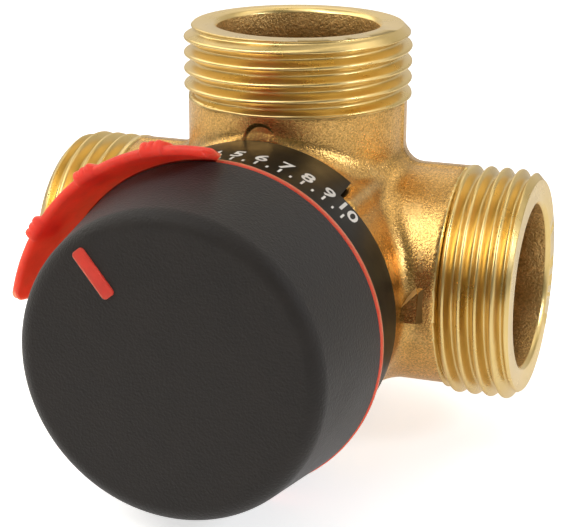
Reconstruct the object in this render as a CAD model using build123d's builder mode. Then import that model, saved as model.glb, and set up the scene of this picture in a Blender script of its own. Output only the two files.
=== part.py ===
from build123d import *
from math import asin, cos, degrees, radians, sin, tan
import os

# Three-way rotary mixing valve, in millimetres.
# The origin is where the axes of the three ports meet the axis of the knob.
# +X is the right port, -X the left port, +Z the upper port and -Y the knob.
# A depth is counted from the origin towards the knob, along -Y.

# Ports: threaded spigots for flat-sealing union nuts, on cast necks
port_reach = 36.0
thread_major_r = 16.62
thread_lead_in = 1.3
port_bore_r = 11.8
bore_mouth_chamfer = 0.5
neck_step = 0.62
neck_standoff = 4.3
rear_land = 0.4
neck_front_margin = 0.5
side_neck_lift = 0.5
neck_blend = 2.8

# Valve chamber, cast in one with the ports and bored from the front
chamber_r = 17.5
chamber_wall = 3.8
rear_wall = 5.2
rear_draw = 4.0
rear_draw_start = 3.0
rear_edge_radius = 3.5
rear_boss_r = 9.5
rear_boss_height = 2.0
rear_boss_edge = 1.0

# Front neck, which takes the bonnet inside and the dial sleeve outside
bonnet_seat_step = 0.7
ring_groove_depth = 1.1
front_neck_wall = 1.4
front_neck_length = 5.7
front_neck_lip = 2.0
front_neck_chamfer = 0.5

# Cast marks and the locating lug
lug_r = 1.7
lug_height = 0.7
lug_setback = 0.4
mark_height = 0.8
mark_root = 1.6
mark_inset = 1.5
arrow_top_z = 3.1
arrow_bottom_z = -1.8
arrow_length = 6.3
round_mark_r = 2.1
round_mark_inset = 3.4

# Rotor: a half drum that leaves one side port open and closes the other
rotor_clearance = 0.08
rotor_wall = 2.2
rotor_half_angle = 89.0
rotor_plate = 2.0
rotor_end_play = 0.1
rotor_hub_r = 7.0
rotor_hub_front_length = 5.0
rotor_hub_rear_length = 3.6
trunnion_r = 3.5
trunnion_length = 4.0
running_clearance = 0.05
seat_clearance = 0.02

# Plain bearing, thrust washers and drive pin
rear_bearing_wall = 1.4
rear_bearing_length = 3.6
bearing_hole_spare = 0.6
washer_thickness = 0.5
washer_width = 2.6
drive_pin_r = 1.0
drive_pin_inset = 0.4

# Shaft
shaft_r = 5.5
shaft_collar_r = 8.6
shaft_collar = 1.6
tongue_thickness = 4.0
tongue_width = 9.0
tongue_length = 4.2
drive_r = 5.0
drive_flat = 3.6
drive_length = 12.6
shaft_end_chamfer = 0.6

# Bonnet and seals
bonnet_length = 7.9
bonnet_boss_r = 9.0
bonnet_boss_length = 5.0
bonnet_rim_wall = 1.8
bonnet_recess_depth = 4.6
bonnet_rib = 1.4
bonnet_rib_count = 6
bonnet_seal_section = 2.0
bonnet_seal_inset = 3.1
shaft_seal_section = 1.75
inner_seal_inset = 2.7
outer_seal_inset = 6.9
seal_groove_spare = 0.5
wiper_r = 7.4
wiper_thickness = 1.2
ring_thickness = 1.2
ring_width = 2.5
ring_gap_angle = 34.0
ring_gap_middle = -90.0
ring_eye_r = 1.9
ring_eye_hole_r = 0.9

# Dial sleeve, keyed by the cast lug
sleeve_clearance = 0.1
sleeve_wall = 1.28
sleeve_length = 9.7
sleeve_tab_length = 5.65
sleeve_tab_from = 51.0
sleeve_tab_to = 129.0
sleeve_web = 1.6
sleeve_web_margin = 2.0
sleeve_front_edge = 0.3
stop_lug_clearance = 0.85
stop_lug_sweep = 9.0

# Knob: the red core with its finger grip, and the black cap over it
knob_gap = 0.25
knob_overhang = 1.27
knob_ring_thickness = 0.9
knob_register = 1.3
cap_step = 0.15
cap_taper = 2.5
cap_height = 16.9
cap_edge_radius = 2.4
cap_wall = 1.8
cap_socket_wall = 1.4
cap_rib = 1.2
cap_rib_clearance = 5.65
cap_socket_clearance = 2.35
cap_rib_count = 6
cap_rib_turn = 30.0
hub_r = 8.2
hub_overhang = 0.4
hub_slot = 1.3
hub_slot_count = 2
hub_slot_length = 8.7
clip_section_r = 0.6
clip_inset = 3.7
clip_gap_angle = 40.0
clip_turn = 45.0

# Travel and pointer: angles are seen from the front, from +X towards +Z
pointer_angle = 128.2
stop_angle_left = 135.0
stop_angle_right = 45.0
stop_rib_sweep = 14.0
stop_rib_inset = 2.7
stop_rib_width = 4.0
stop_rib_clearance = 0.75
stop_play_angle = 0.4
pointer_width = 1.9
pointer_length = 7.25
pointer_inset = 1.8
pointer_proud = 0.35
pointer_corner = 0.55
pointer_edge = 0.2
slot_clearance = 0.05

# Finger grip: a flared lip on the rim of the core
grip_length = 8.15
grip_reach = 3.6
grip_wall = 1.3
grip_flare = 20.8
grip_tip_round = 0.4
grip_root_from = 89.0
grip_tip_from = 84.0
grip_tip_to = 173.5
grip_corner_from = 1.0
grip_corner_to = 1.5
end_trim_sweep = 14.0
pad_angles = (102.6, 125.4, 149.2)
pad_sweep = 6.4
pad_proud = 0.4
pad_start = 3.05
pad_end_inset = 0.5
pad_ridge_count = 3
pad_ridge_sweep = 1.1
pad_ridge_proud = 0.45

# Sizes that follow from those above
full_turn = 360.0
chamber_outer_r = chamber_r + chamber_wall
thread_start = chamber_outer_r + neck_standoff
thread_length = port_reach - thread_start
neck_r = thread_major_r - neck_step
back_depth = -(neck_r + neck_blend + rear_land)
chamber_rear_depth = back_depth + rear_wall
chamber_front_depth = neck_r + neck_front_margin
bonnet_seat_r = chamber_r + bonnet_seat_step
ring_groove_r = bonnet_seat_r + ring_groove_depth
front_neck_r = ring_groove_r + front_neck_wall
ring_depth = chamber_front_depth + bonnet_length
front_neck_end = ring_depth + ring_thickness + front_neck_lip
front_neck_start = front_neck_end - front_neck_length
lug_centre_r = chamber_outer_r + lug_height - lug_r
lug_angle = sleeve_tab_from - degrees(asin((lug_r + sleeve_clearance) / lug_centre_r))
lug_end = front_neck_start - lug_setback
arrow_base_x = thread_start - mark_inset
round_mark_z = thread_start - round_mark_inset
rotor_outer_r = chamber_r - rotor_clearance
rotor_rear_depth = chamber_rear_depth + washer_thickness + rotor_end_play
collar_front_depth = chamber_front_depth - washer_thickness - rotor_end_play
collar_rear_depth = collar_front_depth - shaft_collar
rotor_front_depth = collar_rear_depth - rotor_end_play
bearing_outer_r = trunnion_r + running_clearance + rear_bearing_wall
bearing_hole_depth = rear_bearing_length + bearing_hole_spare
shaft_bore_r = shaft_r + running_clearance
bonnet_recess_r = bonnet_seat_r - bonnet_seal_section - bonnet_rim_wall
boss_front_depth = ring_depth + bonnet_boss_length
bonnet_seal_depth = chamber_front_depth + bonnet_seal_inset
inner_seal_depth = chamber_front_depth + inner_seal_inset
outer_seal_depth = chamber_front_depth + outer_seal_inset
sleeve_inner_r = front_neck_r + sleeve_clearance
sleeve_outer_r = sleeve_inner_r + sleeve_wall
sleeve_rear = front_neck_start + sleeve_clearance
sleeve_front = sleeve_rear + sleeve_length
sleeve_tab_rear = sleeve_rear - sleeve_tab_length
tab_pocket_r = sleeve_outer_r + 2 * sleeve_clearance
tab_pocket_depth = sleeve_tab_rear - sleeve_clearance
web_front_depth = front_neck_end + sleeve_web
core_rear_depth = sleeve_front + knob_gap
core_front_depth = core_rear_depth + knob_ring_thickness
stop_room = core_rear_depth - web_front_depth
stop_rib_outer_r = front_neck_r - stop_rib_inset
stop_rib_inner_r = stop_rib_outer_r - stop_rib_width
sleeve_web_inner_r = stop_rib_inner_r - sleeve_web_margin
knob_ring_r = sleeve_outer_r + knob_overhang
cap_base_r = knob_ring_r - cap_step
cap_top_r = cap_base_r - cap_taper
cap_face_depth = core_front_depth + cap_height
shaft_end_depth = sleeve_front + drive_length
hub_end_depth = shaft_end_depth + hub_overhang
hub_slot_start = hub_end_depth - hub_slot_length
clip_depth = hub_end_depth - clip_inset
pointer_outer_r = cap_top_r - pointer_inset
pointer_middle_r = pointer_outer_r - pointer_length / 2
pointer_front_depth = cap_face_depth + pointer_proud
grip_rim_depth = core_rear_depth + grip_length
grip_outer_r = knob_ring_r + grip_reach
pad_start_depth = core_rear_depth + pad_start


def at_depth(depth):
    """Plane across the knob axis that faces the knob side."""
    return Plane.XZ.offset(depth)


def profile_plane(angle=0.0):
    """Plane through the knob axis: X is the radius at an angle seen from the front, Y the depth."""
    outward = (cos(radians(angle)), 0, sin(radians(angle)))
    normal = (sin(radians(angle)), 0, -cos(radians(angle)))
    return Plane(origin=(0, 0, 0), x_dir=outward, z_dir=normal)


def polar(radius, angle):
    """Point in a plane across the knob axis."""
    return (radius * cos(radians(angle)), radius * sin(radians(angle)))


def ring_sector(inner_r, outer_r, start, end):
    """Sketch of a piece of a flat ring between two angles."""
    middle = (start + end) / 2
    with BuildSketch() as sector:
        with BuildLine():
            ThreePointArc(polar(outer_r, start), polar(outer_r, middle), polar(outer_r, end))
            Line(polar(outer_r, end), polar(inner_r, end))
            ThreePointArc(polar(inner_r, end), polar(inner_r, middle), polar(inner_r, start))
            Line(polar(inner_r, start), polar(outer_r, start))
        make_face()
    return sector.sketch


def ring_profile(inner_r, outer_r, rear, front):
    """Sketch of a rectangle between two radii and two depths."""
    with BuildSketch() as profile:
        with Locations(((inner_r + outer_r) / 2, (rear + front) / 2)):
            Rectangle(outer_r - inner_r, front - rear)
    return profile.sketch


def flatted_round(radius, flat, angle):
    """Sketch of a round bar with one flat that faces an angle."""
    with BuildSketch() as section:
        Circle(radius)
        with Locations(Rotation(0, 0, angle) * Pos(flat, 0)):
            Rectangle(radius, 2 * radius, align=(Align.MIN, Align.CENTER), mode=Mode.SUBTRACT)
    return section.sketch


def knob_side(depth):
    """Radius of the cap's tapered side at a depth."""
    return cap_base_r - cap_taper * (depth - core_front_depth) / cap_height


knob_axis = Axis((0, 0, 0), (0, -1, 0))

os.makedirs("parts", exist_ok=True)

# Body: one brass casting with three necks round a chamber, machined inside and threaded outside
port_planes = {
    "right": Plane.YZ,
    "left": Plane(origin=(0, 0, 0), x_dir=(0, -1, 0), z_dir=(-1, 0, 0)),
    "upper": Plane.XY,
}
neck_lift = {"right": side_neck_lift, "left": side_neck_lift, "upper": 0.0}

with BuildPart() as valve_body:
    # Cast outside: chamber drawn in towards the rear, rear boss and necks, blended into each other
    with BuildSketch(profile_plane()):
        with BuildLine():
            Polyline(
                (chamber_outer_r, -rear_draw_start),
                (chamber_outer_r, front_neck_start),
                (0, front_neck_start),
                (0, back_depth),
                (chamber_outer_r - rear_draw, back_depth),
            )
            TangentArc(
                (chamber_outer_r, -rear_draw_start),
                (chamber_outer_r - rear_draw, back_depth),
                tangent=(0, -1),
            )
        make_face()
    revolve(axis=knob_axis)
    for side, plane in port_planes.items():
        with BuildSketch(plane):
            with Locations((0, neck_lift[side])):
                Circle(neck_r)
        extrude(amount=thread_start)
    fillet(valve_body.edges().filter_by(GeomType.BSPLINE), radius=neck_blend)
    fillet(valve_body.faces().sort_by(Axis.Y)[-1].edges(), radius=rear_edge_radius)
    with BuildSketch(at_depth(back_depth - rear_boss_height)):
        Circle(rear_boss_r)
    extrude(amount=rear_boss_height + rear_wall / 2)
    chamfer(valve_body.faces().sort_by(Axis.Y)[-1].edges(), rear_boss_edge)

    # Raised flow mark on the right neck and round mark on the upper neck
    with BuildSketch(at_depth(neck_r + mark_height)):
        with BuildLine():
            Polyline(
                (arrow_base_x, arrow_top_z),
                (arrow_base_x, arrow_bottom_z),
                (arrow_base_x - arrow_length, arrow_bottom_z),
                close=True,
            )
        make_face()
        with Locations((0, round_mark_z)):
            Circle(round_mark_r)
    extrude(amount=-mark_height - mark_root)

    # Shoulder cut back where the dial sleeve's long side fits, and the lug that keys it
    with BuildSketch(at_depth(tab_pocket_depth)):
        add(ring_sector(front_neck_r, tab_pocket_r, sleeve_tab_from, sleeve_tab_to))
    extrude(amount=front_neck_start - tab_pocket_depth, mode=Mode.SUBTRACT)
    with BuildSketch(at_depth(chamber_front_depth - lug_r)):
        with Locations(polar(lug_centre_r, lug_angle)):
            Circle(lug_r)
    extrude(amount=lug_end - chamber_front_depth + lug_r)

    # Threaded spigots, left plain at the major diameter, with lead-in and flat sealing rim
    for plane in port_planes.values():
        outward = Axis((0, 0, 0), tuple(plane.z_dir))
        with BuildSketch(plane.offset(thread_start)):
            Circle(thread_major_r)
        extrude(amount=thread_length)
        chamfer(valve_body.faces().sort_by(outward)[-1].edges(), thread_lead_in)

    # Front neck turned for the sleeve
    with BuildSketch(at_depth(front_neck_start)):
        Circle(front_neck_r)
    extrude(amount=front_neck_end - front_neck_start)
    chamfer(valve_body.faces().sort_by(Axis.Y)[0].edges(), front_neck_chamfer)

    # Bores: ports, chamber, bonnet seat with its groove, and the blind hole of the rear bearing
    for plane in port_planes.values():
        outward = Axis((0, 0, 0), tuple(plane.z_dir))
        with BuildSketch(plane):
            Circle(port_bore_r)
        extrude(amount=port_reach, mode=Mode.SUBTRACT)
        mouth = valve_body.faces().sort_by(outward)[-1].edges().sort_by(SortBy.RADIUS)[0]
        chamfer(mouth, bore_mouth_chamfer)
    with BuildSketch(at_depth(chamber_rear_depth)):
        Circle(chamber_r)
    extrude(amount=chamber_front_depth - chamber_rear_depth, mode=Mode.SUBTRACT)
    with BuildSketch(at_depth(chamber_front_depth)):
        Circle(bonnet_seat_r)
    extrude(amount=front_neck_end - chamber_front_depth, mode=Mode.SUBTRACT)
    with BuildSketch(at_depth(ring_depth)):
        Circle(ring_groove_r)
    extrude(amount=ring_thickness, mode=Mode.SUBTRACT)
    with BuildSketch(at_depth(chamber_rear_depth)):
        Circle(bearing_outer_r + seat_clearance)
    extrude(amount=-bearing_hole_depth, mode=Mode.SUBTRACT)

# Rear bearing: a plain bush in the blind hole
with BuildPart() as rear_bearing:
    with BuildSketch(at_depth(chamber_rear_depth)):
        Circle(bearing_outer_r)
        Circle(trunnion_r + running_clearance, mode=Mode.SUBTRACT)
    extrude(amount=-rear_bearing_length)

# Thrust washer between the chamber's floor and the rotor
with BuildPart() as rear_thrust_washer:
    with BuildSketch(at_depth(chamber_rear_depth)):
        Circle(trunnion_r + washer_width)
        Circle(trunnion_r + running_clearance, mode=Mode.SUBTRACT)
    extrude(amount=washer_thickness)

# Rotor: half drum between two half plates, with a slotted front hub and a trunnion behind
drum_angle = pointer_angle + 180
drum_start = drum_angle - rotor_half_angle
drum_end = drum_angle + rotor_half_angle
pin_plane = profile_plane(pointer_angle).offset(-rotor_hub_r)
pin_depth = rotor_front_depth - rotor_hub_front_length / 2
rotor_length = rotor_front_depth - rotor_rear_depth
half_plate = ring_sector(rotor_hub_r / 2, rotor_outer_r, drum_start, drum_end)

with BuildPart() as rotor:
    with BuildSketch(at_depth(rotor_rear_depth)):
        add(ring_sector(rotor_outer_r - rotor_wall, rotor_outer_r, drum_start, drum_end))
    extrude(amount=rotor_length)
    for plate_rear in (rotor_rear_depth, rotor_front_depth - rotor_plate):
        with BuildSketch(at_depth(plate_rear)):
            add(half_plate)
        extrude(amount=rotor_plate)
    with BuildSketch(at_depth(rotor_front_depth - rotor_hub_front_length)):
        Circle(rotor_hub_r)
    extrude(amount=rotor_hub_front_length)
    with BuildSketch(at_depth(rotor_rear_depth)):
        Circle(rotor_hub_r)
    extrude(amount=rotor_hub_rear_length)
    with BuildSketch(at_depth(rotor_rear_depth)):
        Circle(trunnion_r)
    extrude(amount=-trunnion_length)
    with BuildSketch(at_depth(rotor_front_depth)):
        Rectangle(
            tongue_width + 2 * running_clearance,
            tongue_thickness + 2 * running_clearance,
            rotation=pointer_angle,
        )
    extrude(amount=-rotor_hub_front_length, mode=Mode.SUBTRACT)
    with BuildSketch(pin_plane):
        with Locations((0, pin_depth)):
            Circle(drive_pin_r + seat_clearance)
    extrude(amount=2 * rotor_hub_r, mode=Mode.SUBTRACT)

# Shaft: collar, two seal grooves, a flatted end for the knob and a tongue for the rotor
inner_groove_r = shaft_bore_r - shaft_seal_section
seal_groove_width = shaft_seal_section + seal_groove_spare

with BuildPart() as shaft:
    with BuildSketch(profile_plane()):
        add(ring_profile(0, shaft_collar_r, collar_rear_depth, collar_front_depth))
        add(ring_profile(0, shaft_r, collar_rear_depth, sleeve_front))
        for seal_depth in (inner_seal_depth, outer_seal_depth):
            seal_rear = seal_depth - seal_groove_width / 2
            groove = ring_profile(inner_groove_r, shaft_collar_r, seal_rear, seal_rear + seal_groove_width)
            add(groove, mode=Mode.SUBTRACT)
    revolve(axis=knob_axis)
    with BuildSketch(at_depth(sleeve_front)):
        add(flatted_round(drive_r, drive_flat, pointer_angle))
    extrude(amount=drive_length)
    chamfer(shaft.faces().sort_by(Axis.Y)[0].edges(), shaft_end_chamfer)
    with BuildSketch(at_depth(collar_rear_depth)):
        Rectangle(tongue_width, tongue_thickness, rotation=pointer_angle)
    extrude(amount=-tongue_length)
    with BuildSketch(pin_plane):
        with Locations((0, pin_depth)):
            Circle(drive_pin_r + seat_clearance)
    extrude(amount=2 * rotor_hub_r, mode=Mode.SUBTRACT)

# Drive pin across the rotor's hub and the shaft's tongue
with BuildPart() as drive_pin:
    with BuildSketch(pin_plane.offset(drive_pin_inset)):
        with Locations((0, pin_depth)):
            Circle(drive_pin_r)
    extrude(amount=2 * (rotor_hub_r - drive_pin_inset))

# Thrust washer between the shaft's collar and the bonnet
with BuildPart() as front_thrust_washer:
    with BuildSketch(at_depth(chamber_front_depth)):
        Circle(shaft_collar_r)
        Circle(shaft_bore_r, mode=Mode.SUBTRACT)
    extrude(amount=-washer_thickness)

# Bonnet: moulded plug with a ribbed front recess, a seal groove round it and the shaft's bearing
bonnet_r = bonnet_seat_r - running_clearance
bonnet_groove_r = bonnet_seat_r - bonnet_seal_section
bonnet_groove_width = bonnet_seal_section + seal_groove_spare
bonnet_groove_rear = bonnet_seal_depth - bonnet_groove_width / 2
recess_floor = ring_depth - bonnet_recess_depth
wiper_seat_depth = boss_front_depth - wiper_thickness

with BuildPart() as bonnet:
    with BuildSketch(profile_plane()):
        add(ring_profile(shaft_bore_r, bonnet_r, chamber_front_depth, ring_depth))
        add(ring_profile(bonnet_boss_r, bonnet_recess_r, recess_floor, ring_depth), mode=Mode.SUBTRACT)
        add(ring_profile(shaft_bore_r, bonnet_boss_r, recess_floor, boss_front_depth))
        add(ring_profile(0, wiper_r, wiper_seat_depth, boss_front_depth), mode=Mode.SUBTRACT)
        groove = ring_profile(
            bonnet_groove_r, bonnet_seat_r, bonnet_groove_rear, bonnet_groove_rear + bonnet_groove_width
        )
        add(groove, mode=Mode.SUBTRACT)
    revolve(axis=knob_axis)
    with BuildSketch(at_depth(recess_floor)):
        with PolarLocations((bonnet_boss_r + bonnet_recess_r) / 2, bonnet_rib_count):
            Rectangle(bonnet_recess_r - bonnet_boss_r + bonnet_rib, bonnet_rib)
    extrude(amount=bonnet_recess_depth - bonnet_rib)

# Seals: an O-ring round the bonnet, two round the shaft, and the wiper at the bonnet's mouth
bonnet_seal_r = bonnet_seal_section / 2 - seat_clearance
with BuildPart() as bonnet_o_ring:
    with BuildSketch(profile_plane()):
        with Locations((bonnet_seat_r - bonnet_seal_section / 2, bonnet_seal_depth)):
            Circle(bonnet_seal_r)
    revolve(axis=knob_axis)

shaft_seal_r = (shaft_seal_section - running_clearance - seat_clearance) / 2
with BuildPart() as inner_shaft_o_ring:
    with BuildSketch(profile_plane()):
        with Locations((inner_groove_r + seat_clearance + shaft_seal_r, inner_seal_depth)):
            Circle(shaft_seal_r)
    revolve(axis=knob_axis)

with BuildPart() as outer_shaft_o_ring:
    with BuildSketch(profile_plane()):
        with Locations((inner_groove_r + seat_clearance + shaft_seal_r, outer_seal_depth)):
            Circle(shaft_seal_r)
    revolve(axis=knob_axis)

with BuildPart() as shaft_wiper:
    with BuildSketch(profile_plane()):
        add(ring_profile(shaft_bore_r, wiper_r - seat_clearance, wiper_seat_depth, boss_front_depth))
    revolve(axis=knob_axis)

# Retaining ring: sprung into the neck's groove in front of the bonnet, with two plier eyes
ring_outer_r = ring_groove_r - seat_clearance
ring_inner_r = ring_outer_r - ring_width
ring_start = ring_gap_middle + ring_gap_angle / 2
ring_end = ring_start + full_turn - ring_gap_angle

with BuildPart() as bonnet_retaining_ring:
    with BuildSketch(at_depth(ring_depth)):
        add(ring_sector(ring_inner_r, ring_outer_r, ring_start, ring_end))
        for eye_angle in (ring_start, ring_end):
            with Locations(polar(ring_inner_r, eye_angle)):
                Circle(ring_eye_r)
                Circle(ring_eye_hole_r, mode=Mode.SUBTRACT)
    extrude(amount=ring_thickness)

# Dial sleeve: pushed over the neck, its long side over the cut-back shoulder, with two stop lugs in front
lug_half_turn = stop_rib_sweep / 2 + stop_play_angle
stop_lug_starts = (stop_angle_left + lug_half_turn, stop_angle_right - lug_half_turn - stop_lug_sweep)

with BuildPart() as dial_sleeve:
    with BuildSketch(profile_plane()):
        add(ring_profile(sleeve_inner_r, sleeve_outer_r, sleeve_rear, sleeve_front))
        add(ring_profile(sleeve_web_inner_r, sleeve_outer_r, front_neck_end, web_front_depth))
    revolve(axis=knob_axis)
    chamfer(dial_sleeve.faces().sort_by(Axis.Y)[0].edges(), sleeve_front_edge)
    with BuildSketch(at_depth(sleeve_tab_rear)):
        add(ring_sector(sleeve_inner_r, sleeve_outer_r, sleeve_tab_from, sleeve_tab_to))
    extrude(amount=sleeve_rear - sleeve_tab_rear)
    with BuildSketch(at_depth(web_front_depth)):
        for start in stop_lug_starts:
            add(ring_sector(stop_rib_inner_r, stop_rib_outer_r, start, start + stop_lug_sweep))
    extrude(amount=stop_room - stop_lug_clearance)

# Knob core: red disc with the hub, the finger grip, the stop rib behind and the pointer blade in front
flare = radians(grip_flare)
grip_corner_depth = grip_rim_depth - grip_wall * sin(flare)
grip_rim_inner_r = grip_outer_r - grip_wall * cos(flare)


def grip_side(depth):
    """Radius of the grip's outer face at a depth."""
    return grip_outer_r - (grip_corner_depth - depth) * tan(flare)


def grip_profile():
    """Sketch of the lip's section, with a rounded rim."""
    with BuildSketch() as profile:
        with BuildLine():
            Polyline(
                (knob_ring_r - grip_wall, core_rear_depth),
                (grip_side(core_rear_depth), core_rear_depth),
                (grip_outer_r, grip_corner_depth),
                (grip_rim_inner_r, grip_rim_depth),
                (knob_ring_r, core_front_depth),
                (knob_ring_r - grip_wall, core_front_depth),
                close=True,
            )
        make_face()
        fillet(profile.vertices().sort_by(Axis.Y)[-2:], radius=grip_tip_round)
    return profile.sketch


def corner_plane(tip_angle, root_angle, turn):
    """Plane across the rim's corner at an end of the lip: X points into the lip, Y to the front.
    The lip lies towards larger angles where turn is 1 and towards smaller ones where it is -1."""
    tip_x, tip_z = polar(grip_outer_r, tip_angle)
    root_x, root_z = polar(knob_ring_r, root_angle)
    run_x = turn * (tip_x - root_x)
    run_z = turn * (tip_z - root_z)
    fall = turn * grip_reach * tan(flare)
    corner = (tip_x, -grip_corner_depth, tip_z)
    return Plane(origin=corner, x_dir=(-run_z, 0, run_x), z_dir=(run_x, fall, run_z))


def pad_profile(proud):
    """Sketch of a pad's section, standing out from the grip's outer face."""
    front = grip_corner_depth - pad_end_inset
    with BuildSketch() as profile:
        with BuildLine():
            Polyline(
                (grip_side(pad_start_depth) - grip_wall / 2, pad_start_depth),
                (grip_side(pad_start_depth), pad_start_depth),
                (grip_side(pad_start_depth + proud) + proud, pad_start_depth + proud),
                (grip_side(front - proud / 2) + proud, front - proud / 2),
                (grip_side(front), front),
                (grip_side(front) - grip_wall / 2, front),
                close=True,
            )
        make_face()
    return profile.sketch


register_front_depth = core_front_depth + knob_register
register_r = knob_side(register_front_depth) - cap_wall - sleeve_clearance
pointer_place = Pos(*polar(pointer_middle_r, pointer_angle)) * Rotation(0, 0, pointer_angle)

with BuildPart() as knob_core:
    with BuildSketch(profile_plane(grip_tip_from)):
        add(grip_profile())
    revolve(axis=knob_axis, revolution_arc=grip_tip_to - grip_tip_from)
    with BuildSketch(at_depth(core_rear_depth)):
        with BuildLine():
            Polyline(
                polar(knob_ring_r, grip_root_from),
                polar(grip_outer_r, grip_tip_from),
                polar(grip_outer_r, grip_tip_from - end_trim_sweep),
                polar(knob_ring_r - grip_wall, grip_tip_from - end_trim_sweep),
                polar(knob_ring_r - grip_wall, grip_root_from),
                close=True,
            )
        make_face()
    extrude(amount=grip_rim_depth - core_rear_depth, mode=Mode.SUBTRACT)
    rim_corners = (
        (corner_plane(grip_tip_from, grip_root_from, 1), grip_corner_from),
        (corner_plane(grip_tip_to, grip_tip_to, -1), grip_corner_to),
    )
    for plane, corner_r in rim_corners:
        with BuildSketch(plane):
            with Locations((corner_r, -corner_r)):
                Rectangle(2 * corner_r, 2 * corner_r, align=(Align.MAX, Align.MIN))
                Circle(corner_r, mode=Mode.SUBTRACT)
        extrude(amount=2 * grip_wall, both=True, mode=Mode.SUBTRACT)
    for pad_angle in pad_angles:
        with BuildSketch(profile_plane(pad_angle - pad_sweep / 2)):
            add(pad_profile(pad_proud))
        revolve(axis=knob_axis, revolution_arc=pad_sweep)
        for ridge in range(pad_ridge_count):
            ridge_angle = pad_angle + (ridge - (pad_ridge_count - 1) / 2) * pad_sweep / pad_ridge_count
            with BuildSketch(profile_plane(ridge_angle - pad_ridge_sweep / 2)):
                add(pad_profile(pad_proud + pad_ridge_proud))
            revolve(axis=knob_axis, revolution_arc=pad_ridge_sweep)

    # Disc that shows as a thin red line, the register for the cap and the hub
    with BuildSketch(profile_plane()):
        add(ring_profile(0, knob_ring_r, core_rear_depth, core_front_depth))
        add(ring_profile(register_r - knob_register, register_r, core_front_depth, register_front_depth))
        add(ring_profile(0, hub_r, core_rear_depth, hub_end_depth))
        clip_rear = clip_depth - clip_section_r - seat_clearance
        clip_front = clip_depth + clip_section_r + seat_clearance
        add(ring_profile(hub_r - clip_section_r, cap_base_r, clip_rear, clip_front), mode=Mode.SUBTRACT)
    revolve(axis=knob_axis)
    with BuildSketch(at_depth(core_rear_depth)):
        add(flatted_round(drive_r + running_clearance, drive_flat + running_clearance, pointer_angle))
    extrude(amount=hub_end_depth - core_rear_depth, mode=Mode.SUBTRACT)
    with BuildSketch(at_depth(hub_slot_start)):
        with PolarLocations(0, hub_slot_count, start_angle=pointer_angle + clip_turn, angular_range=180):
            Rectangle(2 * (hub_r + hub_slot), hub_slot)
    extrude(amount=hub_end_depth - hub_slot_start, mode=Mode.SUBTRACT)

    # Stop rib behind the disc and pointer blade in front of it
    with BuildSketch(at_depth(core_rear_depth)):
        rib_start = pointer_angle - stop_rib_sweep / 2
        add(ring_sector(stop_rib_inner_r, stop_rib_outer_r, rib_start, rib_start + stop_rib_sweep))
    extrude(amount=stop_rib_clearance - stop_room)
    with BuildSketch(at_depth(core_front_depth)):
        with Locations(pointer_place):
            RectangleRounded(pointer_length, pointer_width, pointer_corner)
    extrude(amount=pointer_front_depth - core_front_depth)
    fillet(knob_core.faces().sort_by(knob_axis)[-1].edges(), radius=pointer_edge)

# Spring clip that closes the hub's fingers on the shaft
with BuildPart() as knob_spring_clip:
    with BuildSketch(profile_plane(pointer_angle + clip_turn + clip_gap_angle / 2)):
        with Locations((hub_r + seat_clearance, clip_depth)):
            Circle(clip_section_r)
    revolve(axis=knob_axis, revolution_arc=full_turn - clip_gap_angle)

# Knob cap: tapered black cover with a socket for the hub, radial ribs inside and a slot for the pointer
cap_inner_depth = cap_face_depth - cap_wall
socket_inner_r = hub_r + clip_section_r + 2 * sleeve_clearance
socket_outer_r = socket_inner_r + cap_socket_wall

with BuildPart() as knob_cap:
    with BuildSketch(profile_plane()):
        with BuildLine():
            Polyline(
                (0, core_front_depth),
                (cap_base_r, core_front_depth),
                (cap_top_r, cap_face_depth),
                (0, cap_face_depth),
                close=True,
            )
        make_face()
    revolve(axis=knob_axis)
    fillet(knob_cap.faces().sort_by(knob_axis)[-1].edges(), radius=cap_edge_radius)
    with BuildSketch(profile_plane()):
        with BuildLine():
            Polyline(
                (0, core_front_depth),
                (knob_side(core_front_depth) - cap_wall, core_front_depth),
                (knob_side(cap_inner_depth) - cap_wall, cap_inner_depth),
                (0, cap_inner_depth),
                close=True,
            )
        make_face()
    revolve(axis=knob_axis, mode=Mode.SUBTRACT)
    with BuildSketch(at_depth(core_front_depth + cap_rib_clearance)):
        rib_middle_r = (cap_top_r + socket_inner_r) / 2
        with PolarLocations(rib_middle_r, cap_rib_count, start_angle=pointer_angle + cap_rib_turn):
            Rectangle(cap_top_r - socket_inner_r, cap_rib)
    extrude(amount=cap_inner_depth - core_front_depth - cap_rib_clearance)
    with BuildSketch(at_depth(core_front_depth + cap_socket_clearance)):
        Circle(socket_outer_r)
        Circle(socket_inner_r, mode=Mode.SUBTRACT)
    extrude(amount=cap_inner_depth - core_front_depth - cap_socket_clearance)
    with BuildSketch(at_depth(cap_inner_depth)):
        with Locations(pointer_place):
            RectangleRounded(
                pointer_length + 2 * slot_clearance,
                pointer_width + 2 * slot_clearance,
                pointer_corner + slot_clearance,
            )
    extrude(amount=cap_wall, mode=Mode.SUBTRACT)

# Each piece is written under its own name
pieces = {
    "valve_body": valve_body,
    "rear_bearing": rear_bearing,
    "rear_thrust_washer": rear_thrust_washer,
    "rotor": rotor,
    "shaft": shaft,
    "drive_pin": drive_pin,
    "front_thrust_washer": front_thrust_washer,
    "bonnet": bonnet,
    "bonnet_o_ring": bonnet_o_ring,
    "inner_shaft_o_ring": inner_shaft_o_ring,
    "outer_shaft_o_ring": outer_shaft_o_ring,
    "shaft_wiper": shaft_wiper,
    "bonnet_retaining_ring": bonnet_retaining_ring,
    "dial_sleeve": dial_sleeve,
    "knob_core": knob_core,
    "knob_spring_clip": knob_spring_clip,
    "knob_cap": knob_cap,
}
for name, piece in pieces.items():
    piece.part.label = name
    export_step(piece.part, "parts/" + name + ".step")
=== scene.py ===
import math

import bpy
import numpy as np
from mathutils import Matrix, Vector


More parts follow.
